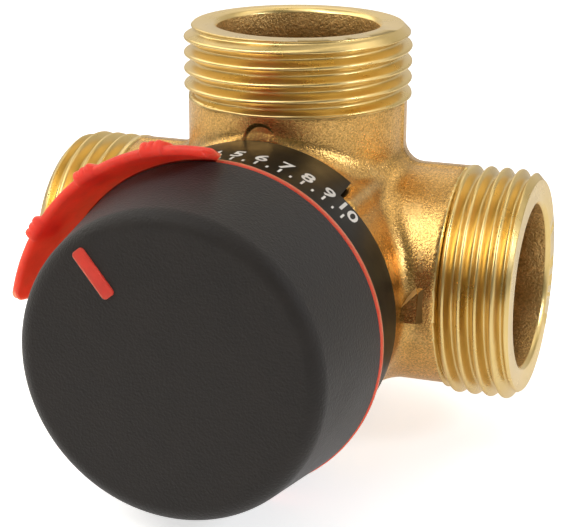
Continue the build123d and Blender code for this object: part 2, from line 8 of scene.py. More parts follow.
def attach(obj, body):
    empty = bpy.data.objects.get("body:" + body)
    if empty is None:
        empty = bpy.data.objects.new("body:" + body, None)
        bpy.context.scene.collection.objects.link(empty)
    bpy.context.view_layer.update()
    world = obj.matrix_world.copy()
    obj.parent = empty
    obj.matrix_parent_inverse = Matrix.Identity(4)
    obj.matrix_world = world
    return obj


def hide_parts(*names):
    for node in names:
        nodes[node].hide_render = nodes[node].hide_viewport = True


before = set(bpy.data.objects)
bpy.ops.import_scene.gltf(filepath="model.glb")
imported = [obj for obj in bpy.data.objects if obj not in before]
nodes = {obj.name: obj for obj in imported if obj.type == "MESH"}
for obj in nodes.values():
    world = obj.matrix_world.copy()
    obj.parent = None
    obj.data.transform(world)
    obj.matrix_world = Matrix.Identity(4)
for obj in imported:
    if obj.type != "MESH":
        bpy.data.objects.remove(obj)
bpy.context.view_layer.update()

# Studio
# The valve is shown as a supplier shows it: on a white sweep, seen from above its right side. A ring of
# soft boxes lights it, the strongest from the front left and the right, and the sweep fills the rest.
mm = 0.001
camera_place = Vector((83.413, -235.892, 80.155)) * mm
camera_yaw = math.radians(19.911)
camera_pitch = math.radians(17.911)
camera_roll = math.radians(0.129)
camera_lens = 110.065
sensor_width = 36.0
camera_near = 0.01
floor_height = -23.5 * mm
floor_size = 6.0
floor_white = (0.9, 0.9, 0.9, 1)
floor_lift_seen = 0.66
floor_lift_mirrored = 0.29
floor_lift_bounced = 0.7
floor_pool = (0.03, 0.11)
sweep_strength = 0.74
room_level = 0.18
room_tint = (1.0, 0.97, 0.9, 1)
sweep_towards = (-0.34, 0.94, 0.0)
lamps_aim = Vector((2.0, -10.0, 2.0)) * mm
box_distance = 0.62
key_tint = (0.94, 1.0, 1.12)
fill_tint = (1.0, 0.965, 0.9)
soft_boxes = {
    "key_box": {"round": -28, "up": 60, "size": 0.17, "watts": 0.50},
    "right_key_box": {"round": 81, "up": 30, "size": 0.13, "watts": 0.84},
    "left_box": {"round": -75, "up": 42, "size": 0.32, "watts": 0.66},
    "front_left_box": {"round": -37, "up": 41, "size": 0.25, "watts": 1.05},
    "overhead_box": {"round": -10, "up": 78, "size": 0.30, "watts": 0.40},
    "rear_overhead_box": {"round": 130, "up": 66, "size": 0.30, "watts": 0.24},
    "right_side_box": {"round": 105, "up": 14, "size": 0.30, "watts": 0.24},
    "rear_right_box": {"round": 120, "up": 46, "size": 0.30, "watts": 0.24},
    "left_side_box": {"round": -107, "up": 32, "size": 0.30, "watts": 0.42},
    "rear_left_box": {"round": -150, "up": 46, "size": 0.30, "watts": 0.20},
}


def new_material(name):
    """A new material whose node tree holds only its output."""
    material = bpy.data.materials.new(name)
    material.use_nodes = True
    tree = material.node_tree
    tree.nodes.clear()
    return material, tree, tree.nodes.new("ShaderNodeOutputMaterial")


def feed(tree, socket, value):
    """Sets a socket, or links it where the value is another node's output."""
    if isinstance(value, bpy.types.NodeSocket):
        tree.links.new(value, socket)
    else:
        socket.default_value = value


def add_math(tree, operation, *values):
    """The result of one step of arithmetic on numbers or other nodes' outputs."""
    node = tree.nodes.new("ShaderNodeMath")
    node.operation = operation
    for socket, value in zip(node.inputs, values):
        feed(tree, socket, value)
    return node.outputs[0]


def add_vector_math(tree, operation, *values):
    """The same on places and colours. A length or a dot product comes out as a number."""
    node = tree.nodes.new("ShaderNodeVectorMath")
    node.operation = operation
    sockets = (node.inputs[0], node.inputs["Scale"]) if operation == "SCALE" else node.inputs
    for socket, value in zip(sockets, values):
        feed(tree, socket, value)
    return node.outputs["Value" if operation in ("LENGTH", "DOT_PRODUCT") else "Vector"]


def add_range(tree, source, low, high, start=0.3, end=0.7, smooth=False):
    """Turns a value that runs from start to end into one that runs from low to high."""
    node = tree.nodes.new("ShaderNodeMapRange")
    node.interpolation_type = "SMOOTHSTEP" if smooth else "LINEAR"
    limits = {"Value": source, "From Min": start, "From Max": end, "To Min": low, "To Max": high}
    for name, value in limits.items():
        feed(tree, node.inputs[name], value)
    return node.outputs["Result"]


camera_data = bpy.data.cameras.new("camera")
camera_data.lens = camera_lens
camera_data.sensor_width = sensor_width
camera_data.clip_start = camera_near
camera = bpy.data.objects.new("camera", camera_data)
turn = Matrix.Rotation(camera_yaw, 4, "Z") @ Matrix.Rotation(math.pi / 2 - camera_pitch, 4, "X")
camera.matrix_world = Matrix.Translation(camera_place) @ turn @ Matrix.Rotation(camera_roll, 4, "Z")
bpy.context.scene.collection.objects.link(camera)
bpy.context.scene.camera = camera
bpy.context.scene.view_settings.view_transform = "Standard"

for name, box in soft_boxes.items():
    light_data = bpy.data.lights.new(name, "AREA")
    light_data.size = box["size"]
    light_data.energy = box["watts"]
    light_data.color = key_tint if "key" in name else fill_tint
    light = bpy.data.objects.new(name, light_data)
    about = math.radians(box["round"])
    rise = math.radians(box["up"])
    away = Vector((math.cos(rise) * math.sin(about), -math.cos(rise) * math.cos(about), math.sin(rise)))
    light.location = lamps_aim + away * box_distance
    light.rotation_euler = (-away).to_track_quat("-Z", "Y").to_euler()
    bpy.context.scene.collection.objects.link(light)

world = bpy.data.worlds.new("studio")
world.use_nodes = True
bpy.context.scene.world = world
tree = world.node_tree
tree.nodes.clear()
output = tree.nodes.new("ShaderNodeOutputWorld")
seen = tree.nodes.new("ShaderNodeLightPath")
direction = tree.nodes.new("ShaderNodeTexCoord")
facing = add_vector_math(tree, "DOT_PRODUCT", direction.outputs["Generated"], sweep_towards)
room = tree.nodes.new("ShaderNodeBackground")
feed(tree, room.inputs["Color"], room_tint)
feed(tree, room.inputs["Strength"], add_range(tree, facing, room_level, sweep_strength, 0.0, 1.0))
sweep = tree.nodes.new("ShaderNodeBackground")
feed(tree, sweep.inputs["Color"], (1, 1, 1, 1))
mix = tree.nodes.new("ShaderNodeMixShader")
feed(tree, mix.inputs["Fac"], seen.outputs["Is Camera Ray"])
feed(tree, mix.inputs[1], room.outputs[0])
feed(tree, mix.inputs[2], sweep.outputs[0])
feed(tree, output.inputs["Surface"], mix.outputs[0])

floor_mesh = bpy.data.meshes.new("floor")
half = floor_size / 2
floor_plan = ((-half, -half), (half, -half), (half, half), (-half, half))
floor_mesh.from_pydata([(x, y, floor_height) for x, y in floor_plan], [], [(0, 1, 2, 3)])
floor = bpy.data.objects.new("floor", floor_mesh)
bpy.context.scene.collection.objects.link(floor)
material, tree, output = new_material("white_sweep")
seen = tree.nodes.new("ShaderNodeLightPath")
place = tree.nodes.new("ShaderNodeTexCoord")
away = add_vector_math(tree, "LENGTH", place.outputs["Object"])
mirrored = add_range(tree, away, floor_lift_mirrored, 0.0, *floor_pool)
lift = add_math(tree, "MULTIPLY", seen.outputs["Is Camera Ray"], floor_lift_seen)
lift = add_math(tree, "MULTIPLY_ADD", seen.outputs["Is Diffuse Ray"], floor_lift_bounced, lift)
lift = add_math(tree, "MULTIPLY_ADD", seen.outputs["Is Glossy Ray"], mirrored, lift)
matte = tree.nodes.new("ShaderNodeBsdfDiffuse")
feed(tree, matte.inputs["Color"], floor_white)
glow = tree.nodes.new("ShaderNodeEmission")
feed(tree, glow.inputs["Color"], (1, 1, 1, 1))
feed(tree, glow.inputs["Strength"], lift)
both = tree.nodes.new("ShaderNodeAddShader")
feed(tree, both.inputs[0], matte.outputs[0])
feed(tree, both.inputs[1], glow.outputs[0])
feed(tree, output.inputs["Surface"], both.outputs[0])
floor.data.materials.append(material)

# Valve body
# One sand casting in brass: a round chamber with three necks that run into it with soft fillets, a proud
# line where the two halves of the mould met, a flow mark, a round mark and a lug. The ports are bored,
# faced and threaded, and the front neck is turned, so those places are bright and the rest is dull.
neck_r = 16.0
side_neck_lift = 0.5
neck_end = 25.6
neck_cast_end = 25.85
port_reach = 36.0
port_bore_r = 11.8
blend_r = 2.8
shoulder_blend_r = 2.2
chamber_outer_r = 21.3
chamber_back = 19.2
rear_draw = 4.0
rear_draw_start = 3.0
chamber_front = 21.9
rear_edge_r = 3.5
rear_boss_r = 9.5
rear_boss_back = 21.2
small_edge_r = 0.35
front_neck_r = 20.7
front_neck_end = 27.6
chamber_r = 17.5
chamber_floor = 14.0
bonnet_seat_r = 18.2
bonnet_seat_depth = 16.5
ring_groove_r = 19.3
ring_groove_middle = 25.0
ring_groove_width = 1.2
bearing_hole_r = 4.97
bearing_hole_end = 18.2
flow_mark_face = (16.85, 16.85, 18.1, 17.8)
flow_mark_base = 15.75
flow_mark_sunk = 1.5
flow_mark_foot = ((24.12, 3.15), (23.0, 3.15), (17.9, -1.9), (24.12, -1.9))
flow_mark_top = ((23.62, 2.75), (23.4, 2.62), (19.45, -1.45), (23.62, -1.45))
round_mark_z = 22.15
round_mark_r = (1.5, 2.45)
round_mark_depth = 0.36
round_mark_deep_side = (-0.8, 0.0, 0.6)
lug_place = (14.13, 14.58)
lug_r = 1.7
lug_end = 21.5
lug_round = 0.9
pocket_outer_r = 22.28
pocket_depth = 16.25
pocket_half_angle = math.radians(39.0)
flash_height = 0.3
flash_width = 0.42
grid_step = 0.6
grid_low = (-26.4, -28.4, -22.4)
grid_high = (26.4, 22.0, 26.4)


def round_union(a, b, radius):
    """Joins two distance fields with a fillet of that radius in the corner."""
    corner = np.hypot(np.maximum(radius - a, 0), np.maximum(radius - b, 0))
    return np.maximum(radius, np.minimum(a, b)) - corner


def round_overlap(a, b, radius):
    """Keeps what two distance fields share, with the edge rounded to that radius."""
    corner = np.hypot(np.maximum(radius + a, 0), np.maximum(radius + b, 0))
    return np.minimum(-radius, np.maximum(a, b)) + corner


def casting(x, y, z):
    """Distance from the body's skin in millimetres, negative inside the brass."""
    depth = -y
    radial = np.hypot(x, z)
    drawn = chamber_back - rear_draw_start
    draw_r = (drawn ** 2 + rear_draw ** 2) / (2 * rear_draw)
    side = np.hypot(radial + draw_r - chamber_outer_r, np.maximum(y - rear_draw_start, 0)) - draw_r
    chamber = round_overlap(side, y - chamber_back, rear_edge_r)
    chamber = round_overlap(chamber, depth - chamber_front, small_edge_r)
    boss = round_overlap(radial - rear_boss_r, y - rear_boss_back, rear_edge_r / 4)
    chamber = round_union(chamber, np.maximum(boss, -y), rear_edge_r / 4)
    from_side_axis = np.hypot(y, z - side_neck_lift)
    side_necks = round_overlap(from_side_axis - neck_r, np.abs(x) - neck_cast_end, small_edge_r)
    upper_neck = round_overlap(np.hypot(x, y) - neck_r, z - neck_cast_end, small_edge_r)
    necks = round_union(side_necks, np.maximum(upper_neck, -z), blend_r)
    skin = round_union(necks, chamber, shoulder_blend_r)
    skin = skin - flash_height * np.exp(-((y / flash_width) ** 2))
    lug = round_overlap(np.hypot(x - lug_place[0], z - lug_place[1]) - lug_r, depth - lug_end, lug_round)
    skin = round_union(skin, np.maximum(lug, -depth), lug_round)
    aside = np.abs(np.arctan2(x, z)) - pocket_half_angle
    pocket = np.maximum(np.maximum(front_neck_r - radial, radial - pocket_outer_r), pocket_depth - depth)
    skin = np.maximum(skin, -np.maximum(pocket, aside * radial))
    turned = round_overlap(radial - front_neck_r, depth - front_neck_end, small_edge_r)
    skin = np.minimum(skin, np.maximum(turned, -depth))
    side_bores = np.hypot(y, z) - port_bore_r
    upper_bore = np.maximum(np.hypot(x, y) - port_bore_r, -z)
    hollow = np.minimum(side_bores, upper_bore)
    room_inside = np.maximum(np.maximum(radial - chamber_r, y - chamber_floor), depth - neck_end)
    hollow = np.minimum(hollow, room_inside)
    hollow = np.minimum(hollow, np.maximum(radial - bonnet_seat_r, bonnet_seat_depth - depth))
    groove = np.maximum(radial - ring_groove_r, np.abs(depth - ring_groove_middle) - ring_groove_width / 2)
    hollow = np.minimum(hollow, groove)
    hollow = np.minimum(hollow, np.maximum(np.maximum(radial - bearing_hole_r, y - bearing_hole_end), -y))
    return round_overlap(skin, -hollow, small_edge_r)


def settle(points, field, rounds=3):
    """Moves points onto the skin of a distance field."""
    reach = 0.02
    least_slope = 0.25
    for _ in range(rounds):
        value = field(*points.T)
        slope = np.empty_like(points)
        for axis in range(3):
            shift = np.zeros(3)
            shift[axis] = reach
            slope[:, axis] = (field(*(points + shift).T) - field(*(points - shift).T)) / (2 * reach)
        steep = np.maximum((slope ** 2).sum(1), least_slope)
        step = np.clip(value / steep, -grid_step / 2, grid_step / 2)
        points = points - slope * step[:, None]
    return points


def skin_mesh(field, low, high, step):
    """Points and four-sided faces on a distance field's skin, with one point in each grid cell it crosses."""
    counts = [int(math.ceil((b - a) / step)) + 1 for a, b in zip(low, high)]
    axes = [a + step * np.arange(n) for a, n in zip(low, counts)]
    values = field(*np.meshgrid(*axes, indexing="ij"))
    inside = values < 0
    corners = [(i, j, k) for i in (0, 1) for j in (0, 1) for k in (0, 1)]
    cells = tuple(n - 1 for n in counts)

    def corner_block(array, corner):
        return array[tuple(slice(c, c + n) for c, n in zip(corner, cells))]

    filled = sum(corner_block(inside, c).astype(np.int8) for c in corners)
    crossed = np.argwhere((filled > 0) & (filled < len(corners)))
    total = np.zeros((len(crossed), 3))
    hits = np.zeros(len(crossed))
    for a in corners:
        for axis in range(3):
            if a[axis]:
                continue
            b = tuple(c + (n == axis) for n, c in enumerate(a))
            at_a = values[tuple((crossed + a).T)]
            at_b = values[tuple((crossed + b).T)]
            cut = (at_a < 0) != (at_b < 0)
            share = np.where(cut, at_a / np.where(cut, at_a - at_b, 1), 0)
            place = np.tile(np.array(a, float), (len(crossed), 1))
            place[:, axis] += share
            total += place * cut[:, None]
            hits += cut
    points = np.array(low) + step * (crossed + total / hits[:, None])
    index = -np.ones(cells, int)
    index[tuple(crossed.T)] = np.arange(len(crossed))
    faces = []
    for axis in range(3):
        u, v = [n for n in range(3) if n != axis]
        first = np.take(inside, range(counts[axis] - 1), axis)
        second = np.take(inside, range(1, counts[axis]), axis)
        edges = np.argwhere(first != second)
        within = (edges[:, u] > 0) & (edges[:, v] > 0) & (edges[:, u] < cells[u])
        edges = edges[within & (edges[:, v] < cells[v])]
        leaving = first[tuple(edges.T)] == (axis != 1)
        ring = []
        for du, dv in ((-1, -1), (0, -1), (0, 0), (-1, 0)):
            cell = edges.copy()
            cell[:, u] += du
            cell[:, v] += dv
            ring.append(index[tuple(cell.T)])
        ring = np.stack(ring, 1)
        faces.append(np.where(leaving[:, None], ring, ring[:, ::-1]))
    return points, np.concatenate(faces)


cast_points, cast_faces = skin_mesh(casting, grid_low, grid_high, grid_step)
cast_points = settle(cast_points, casting)

# Port threads
# Each neck ends in a spigot turned down and cut with a parallel pipe thread, for a union nut. The groove
# rises out of the metal beside the neck, the first crest is chamfered, and the bore's mouth is broken.
thread_major_r = 16.62
thread_pitch = 2.309
thread_crest_r = 0.137 * thread_pitch
thread_flank = math.radians(27.5)
rim_outer_r = 15.3
mouth_chamfer = 0.5
spigot_root = 24.7
spigot_blank_start = 25.45
spigot_root_inset = 1.6
blank_overlap = 0.1
blank_draw = 2.0
thread_fade = math.radians(80.0)
thread_fade_lead = thread_fade / 6
thread_columns = 160
thread_rows = 84
rim_softness = 0.06
bright_rim_rows = 5
ports = {
    "right": {"out": (1, 0, 0), "zero": (0, -1, 0), "quarter": (0, 0, 1),
              "end_turn": 48.0, "end_place": 25.35},
    "left": {"out": (-1, 0, 0), "zero": (0, -1, 0), "quarter": (0, 0, -1),
             "end_turn": 200.0, "end_place": 25.6},
    "upper": {"out": (0, 0, 1), "zero": (0, -1, 0), "quarter": (-1, 0, 0),
              "end_turn": 70.0, "end_place": 26.0},
}


def ease(value):
    """Rises smoothly from 0 to 1 while the value does."""
    value = np.clip(value, 0, 1)
    return value * value * (3 - 2 * value)


def groove_depth(distance):
    """How far below the crest the rounded thread form lies, by the distance from a groove's middle."""
    along = np.minimum(np.abs(distance), thread_pitch / 2)
    half = thread_pitch / 2
    arc_reach = thread_crest_r * math.cos(thread_flank)
    arc_drop = thread_crest_r * (1 - math.sin(thread_flank))
    depth = 2 * arc_drop + (half - 2 * arc_reach) / math.tan(thread_flank)
    from_crest = half - along
    crest = thread_crest_r - np.sqrt(np.maximum(thread_crest_r ** 2 - from_crest ** 2, 0))
    root = depth - thread_crest_r + np.sqrt(np.maximum(thread_crest_r ** 2 - along ** 2, 0))
    flank = arc_drop + (from_crest - arc_reach) / math.tan(thread_flank)
    return np.where(from_crest < arc_reach, crest, np.where(along < arc_reach, root, flank))


def spigot(port):
    """Points and faces of one threaded spigot, as rows round its axis, and where its bore starts."""
    angle = np.linspace(0, 2 * math.pi, thread_columns, endpoint=False)
    end_turn = math.radians(port["end_turn"])
    rows = []
    for place in np.linspace(spigot_blank_start, port_reach, thread_rows):
        blank = np.minimum(thread_major_r, rim_outer_r + port_reach - place)
        under_neck = max(0.0, neck_end + blank_overlap - place)
        blank = min(blank, thread_major_r - under_neck * blank_draw)
        turns = (end_turn - angle) / (2 * math.pi) - (place - port["end_place"]) / thread_pitch
        nearest = np.round(turns)
        back = end_turn - angle - 2 * math.pi * nearest
        middle = port["end_place"] + thread_pitch * back / (2 * math.pi)
        cut = ease(1 + (back - thread_fade_lead) / thread_fade)
        radius = thread_major_r - groove_depth(place - middle) * cut
        rows.append((np.full_like(angle, place), np.minimum(radius, blank)))
    inner = port_bore_r + mouth_chamfer
    mouth = port_reach - mouth_chamfer
    rim = [
        (port_reach, rim_outer_r - rim_softness), (port_reach, inner + rim_softness),
        (port_reach - rim_softness, inner - rim_softness / 2),
        (mouth, port_bore_r + rim_softness / 2), (mouth - 2 * rim_softness, port_bore_r),
        (spigot_root, port_bore_r), (spigot_root, neck_r - spigot_root_inset),
    ]
    for place, radius in rim:
        rows.append((np.full_like(angle, place), np.full_like(angle, radius)))
    out, zero, quarter = (np.array(port[k], float) for k in ("out", "zero", "quarter"))
    around = zero * np.cos(angle)[:, None] + quarter * np.sin(angle)[:, None]
    points = np.concatenate([p[:, None] * out + r[:, None] * around for p, r in rows])
    here = np.arange(thread_columns)
    beside = (here + 1) % thread_columns
    faces = []
    for row in range(len(rows)):
        this = row * thread_columns
        ahead = (row + 1) % len(rows) * thread_columns
        faces.append(np.stack([this + here, ahead + here, ahead + beside, this + beside], 1))
    faces = np.concatenate(faces)
    if np.dot(np.cross(zero, quarter), out) > 0:
        faces = faces[:, ::-1]
    return points, faces, (thread_rows + bright_rim_rows) * thread_columns


# Body finish and flow mark
# The casting keeps its blasted skin, with painted shade darkening its corners, and is bright where a tool
# cut it. The flow mark is a raised triangle with sloping sides, cast with the body, with a painted
# highlight on its upper slope and painted shade on its lower and right sides.
# Painted shade: the metals can darken their colour in corners and thread valleys found by an occlusion test.
corner_shade_range = (0.25, 0.85)
corner_shade_samples = 8
bore_margin = 0.3
chamber_margin = 0.4
front_margin = 0.1
neck_margin = 0.4
cast_slot, cut_slot, bore_slot, highlight_slope_slot, shaded_side_slot = range(5)

def mesh_object(name, points, faces, materials, slots=None, crease=None, flat_from=None):
    """A smooth mesh object from points in millimetres. Edges sharper than the crease, in degrees, stay
    sharp, and the faces from flat_from on stay flat."""
    mesh = bpy.data.meshes.new(name)
    mesh.from_pydata((np.asarray(points) * mm).tolist(), [], [list(map(int, f)) for f in faces])
    for material in materials:
        mesh.materials.append(material)
    if slots is not None:
        mesh.polygons.foreach_set("material_index", np.asarray(slots, np.int32))
    mesh.shade_smooth()
    if flat_from is not None:
        mesh.polygons.foreach_set("use_smooth", np.arange(len(mesh.polygons)) < flat_from)
    if crease:
        mesh.set_sharp_from_angle(angle=math.radians(crease))
    mesh.update()
    thing = bpy.data.objects.new(name, mesh)
    bpy.context.scene.collection.objects.link(thing)
    return thing


def add_noise(tree, scale, detail, rough=0.55):
    """Noise in the part's own space, with its scale in cycles for each millimetre."""
    place = tree.nodes.new("ShaderNodeTexCoord")
    noise = tree.nodes.new("ShaderNodeTexNoise")
    settings = {"Vector": place.outputs["Object"], "Scale": scale / mm, "Detail": detail, "Roughness": rough}
    for name, value in settings.items():
        feed(tree, noise.inputs[name], value)
    return noise.outputs["Fac"]


def add_colours(tree, source, stops):
    """A colour ramp over a noise value."""
    ramp = tree.nodes.new("ShaderNodeValToRGB")
    while len(ramp.color_ramp.elements) < len(stops):
        ramp.color_ramp.elements.new(0.5)
    for element, (place, colour) in zip(ramp.color_ramp.elements, stops):
        element.position = place
        element.color = (*colour, 1)
    tree.links.new(source, ramp.inputs["Fac"])
    return ramp.outputs["Color"]


def add_bump(tree, source, depth, under=None):
    """A bump with its depth in millimetres, on top of an earlier one if given."""
    bump = tree.nodes.new("ShaderNodeBump")
    feed(tree, bump.inputs["Strength"], 1.0)
    feed(tree, bump.inputs["Distance"], depth * mm)
    feed(tree, bump.inputs["Height"], source)
    if under is not None:
        feed(tree, bump.inputs["Normal"], under)
    return bump.outputs["Normal"]


def round_dent(tree):
    """The round mark, a shallow recess in the front of the upper neck that is deepest at one side."""
    place = tree.nodes.new("ShaderNodeTexCoord").outputs["Object"]
    axes = tree.nodes.new("ShaderNodeSeparateXYZ")
    feed(tree, axes.inputs[0], place)
    inner, outer = (r * mm for r in round_mark_r)
    offset = add_vector_math(tree, "MULTIPLY_ADD", place, (1, 0, 1), (0, 0, -round_mark_z * mm))
    wall = add_range(tree, add_vector_math(tree, "LENGTH", offset), 0.0, 1.0, inner, outer, smooth=True)
    lean = add_vector_math(tree, "DOT_PRODUCT", offset, round_mark_deep_side)
    bottom = add_range(tree, lean, 1.0, 0.0, -inner, outer)
    behind = add_math(tree, "GREATER_THAN", axes.outputs["Y"], -neck_r / 2 * mm)
    height = add_math(tree, "MAXIMUM", add_math(tree, "MAXIMUM", wall, bottom), behind)
    return add_bump(tree, height, round_mark_depth)


def metal(name, stops, roughness, grain, grain_depth, mottle=0.25, speckle=0.0, mark=None, painted_corner_shade=None):
    """Brass or steel with mottled colour, uneven polish and a fine grain with darker pits. Painted shade in
    its corners, which darkens the colour where an occlusion test finds them, is given by how far it reaches
    and how bright the darkest place stays."""
    material, tree, output = new_material(name)
    shader = tree.nodes.new("ShaderNodeBsdfPrincipled")
    patches = add_noise(tree, mottle, detail=5.0)
    fine = add_noise(tree, grain, detail=3.0, rough=0.6)
    pitted = add_range(tree, fine, 1 - speckle, 1 + speckle / 3)
    colour = add_vector_math(tree, "SCALE", add_colours(tree, patches, stops), pitted)
    if painted_corner_shade:
        corner_shade_reach, darkest = painted_corner_shade
        corner = tree.nodes.new("ShaderNodeAmbientOcclusion")
        corner.samples = corner_shade_samples
        feed(tree, corner.inputs["Distance"], corner_shade_reach * mm)
        shade = add_range(tree, corner.outputs["AO"], darkest, 1.0, *corner_shade_range)
        colour = add_vector_math(tree, "SCALE", colour, shade)
    under = mark(tree) if mark else None
    settings = {
        "Metallic": 1.0, "Base Color": colour, "Roughness": add_range(tree, patches, *roughness),
        "Normal": add_bump(tree, fine, grain_depth, under),
    }
    for socket, value in settings.items():
        feed(tree, shader.inputs[socket], value)
    feed(tree, output.inputs["Surface"], shader.outputs[0])
    return material


# The cast skin and the machined brass take painted shade in their corners and thread valleys.
cast_skin = metal(
    "cast_brass_skin", [(0.3, (0.78, 0.45, 0.13)), (0.55, (0.88, 0.52, 0.165)), (0.75, (0.94, 0.59, 0.21))],
    roughness=(0.22, 0.29), grain=3.6, grain_depth=0.065, speckle=0.48, mark=round_dent, painted_corner_shade=(7.0, 0.30))
cut_brass = metal(
    "machined_brass", [(0.3, (0.84, 0.61, 0.23)), (0.7, (0.90, 0.67, 0.29))],
    roughness=(0.26, 0.32), grain=6.0, grain_depth=0.008, painted_corner_shade=(1.5, 0.84))
bore_brass = metal(
    "rough_bore_brass", [(0.3, (0.68, 0.44, 0.16)), (0.7, (0.86, 0.56, 0.22))],
    roughness=(0.42, 0.52), grain=2.6, grain_depth=0.16, speckle=0.3)
# Painted highlight: a paler brass on the flow mark's upper slope, in place of the light it catches.
painted_highlight_brass = metal(
    "flow_mark_painted_highlight", [(0.3, (0.90, 0.66, 0.32)), (0.7, (0.98, 0.74, 0.38))],
    roughness=(0.50, 0.60), grain=4.0, grain_depth=0.03)
# Painted shade: a dark brass on the flow mark's lower and right sides, in place of the shadow beside them.
painted_shade_brass = metal(
    "flow_mark_painted_shade", [(0.3, (0.20, 0.13, 0.05)), (0.7, (0.32, 0.21, 0.09))],
    roughness=(0.50, 0.60), grain=4.0, grain_depth=0.03)

body_points = [cast_points]
body_faces = [cast_faces]
across, back, up = cast_points[cast_faces].mean(1).T
in_bore = np.hypot(back, up) < port_bore_r + bore_margin
in_bore |= (np.hypot(across, back) < port_bore_r + bore_margin) & (up > 0)
in_bore |= (np.hypot(across, up) < chamber_r + chamber_margin) & (back < chamber_floor + chamber_margin)
is_cut = -back > chamber_front - front_margin
is_cut |= (np.abs(across) > neck_cast_end - neck_margin) | (up > neck_cast_end - neck_margin)
body_slots = [np.where(is_cut, cut_slot, np.where(in_bore, bore_slot, cast_slot))]
start = len(cast_points)
for port in ports.values():
    points, faces, bore_start = spigot(port)
    body_points.append(points)
    body_faces.append(faces + start)
    body_slots.append(np.where(faces.min(1) >= bore_start - thread_columns, bore_slot, cut_slot))
    start += len(points)
smooth_faces = sum(len(faces) for faces in body_faces)
mark_points = []
for outline, depths in (
    (flow_mark_foot, [flow_mark_base - flow_mark_sunk] * 4), (flow_mark_foot, [flow_mark_base] * 4),
    (flow_mark_top, flow_mark_face),
):
    mark_points += [(x, -depth, z) for (x, z), depth in zip(outline, depths)]
mark_faces = [(0, 1, 2, 3), (11, 10, 9, 8)]
for layer in (0, 4):
    for n in range(4):
        m = (n + 1) % 4
        mark_faces.append((layer + n, layer + 4 + n, layer + 4 + m, layer + m))
body_points.append(np.array(mark_points))
body_faces.append(np.array(mark_faces) + start)
# The flow mark's caps and top side take the cast skin, its upper slope the painted highlight, and its lower
# and right sides the painted shade.
body_slots.append(np.array([cast_slot] * 2 + [cast_slot, highlight_slope_slot, shaded_side_slot, shaded_side_slot] * 2))
valve_body = mesh_object("valve_body_casting", np.concatenate(body_points), np.concatenate(body_faces),
                         [cast_skin, cut_brass, bore_brass, painted_highlight_brass, painted_shade_brass],
                         np.concatenate(body_slots), flat_from=smooth_faces)
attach(valve_body, "housing")
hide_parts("valve_body")

# Dial sleeve
# A moulded black ring pushed over the front neck. Its longer side covers the shoulder under the upper
# neck, where the cast lug keys it, and a plain white scale is printed round it.
sleeve_inner_r = 20.8
sleeve_outer_r = 22.08
sleeve_rear = 22.0
sleeve_front = 31.7
sleeve_tab_rear = 16.35
sleeve_tab = (math.radians(51.0), math.radians(129.0))
sleeve_edge = 0.3
sleeve_web_front = 29.2
sleeve_web_rear = 27.6
sleeve_web_inner_r = 12.0
stop_lug_front = 31.1
stop_lug_r = (14.0, 18.0)
stop_lugs = ((142.4, 151.4), (28.6, 37.6))
scale_from = 135.0
scale_to = 45.0
scale_count = 11
figure_height = 2.7
figure_foot = 25.2
tick_foot = 27.1
tick_length = 1.4
tick_width = 0.32
ink_lift = 0.03
ink_depth = 0.12
capital_share = 0.72
stroke_share = 0.022
lug_overlap = 0.2
darker_share = 0.82
glow_reach = 5.0
glow_by_colour = (1.0, 0.85, 0.75)
box_sides = [(3, 2, 1, 0), (4, 5, 6, 7), (0, 1, 5, 4), (1, 2, 6, 5), (2, 3, 7, 6), (3, 0, 4, 7)]


def plastic(name, colour, roughness, grain, grain_depth, mottle=0.35, gloss=0.5, fuzz=0.0, glow=0.0):
    """Moulded plastic with a fine grain and uneven gloss. A soft coat has some fuzz, and a bright colour
    glows where light spreads inside a thin wall."""
    material, tree, output = new_material(name)
    shader = tree.nodes.new("ShaderNodeBsdfPrincipled")
    patches = add_noise(tree, mottle, detail=3.0)
    fine = add_noise(tree, grain, detail=2.0)
    darker = tuple(darker_share * c for c in colour)
    settings = {
        "Base Color": add_colours(tree, patches, [(0.35, darker), (0.65, colour)]),
        "Roughness": add_range(tree, patches, *roughness), "Normal": add_bump(tree, fine, grain_depth),
        "Specular IOR Level": gloss, "Sheen Weight": fuzz, "Subsurface Weight": glow,
        "Subsurface Scale": glow_reach * mm, "Subsurface Radius": glow_by_colour,
    }
    for socket, value in settings.items():
        feed(tree, shader.inputs[socket], value)
    feed(tree, output.inputs["Surface"], shader.outputs[0])
    return material


def lathe(profile, steps, closed=True, start=0.0, sweep=2 * math.pi):
    """Points and faces of a profile of (radius, depth) pairs turned about the knob axis."""
    profile = np.array(profile, float)
    whole = sweep >= 2 * math.pi
    angle = start + sweep * np.arange(steps) / (steps if whole else steps - 1)
    radius, depth = profile.T
    x = radius[:, None] * np.cos(angle)
    z = radius[:, None] * np.sin(angle)
    points = np.stack([x, np.repeat(-depth[:, None], steps, 1), z], 2).reshape(-1, 3)
    count = len(profile)
    faces = []
    for row in range(count if closed else count - 1):
        this = row * steps
        ahead = (row + 1) % count * steps
        for n in range(steps if whole else steps - 1):
            m = (n + 1) % steps
            faces.append((this + n, this + m, ahead + m, ahead + n))
    return points, faces


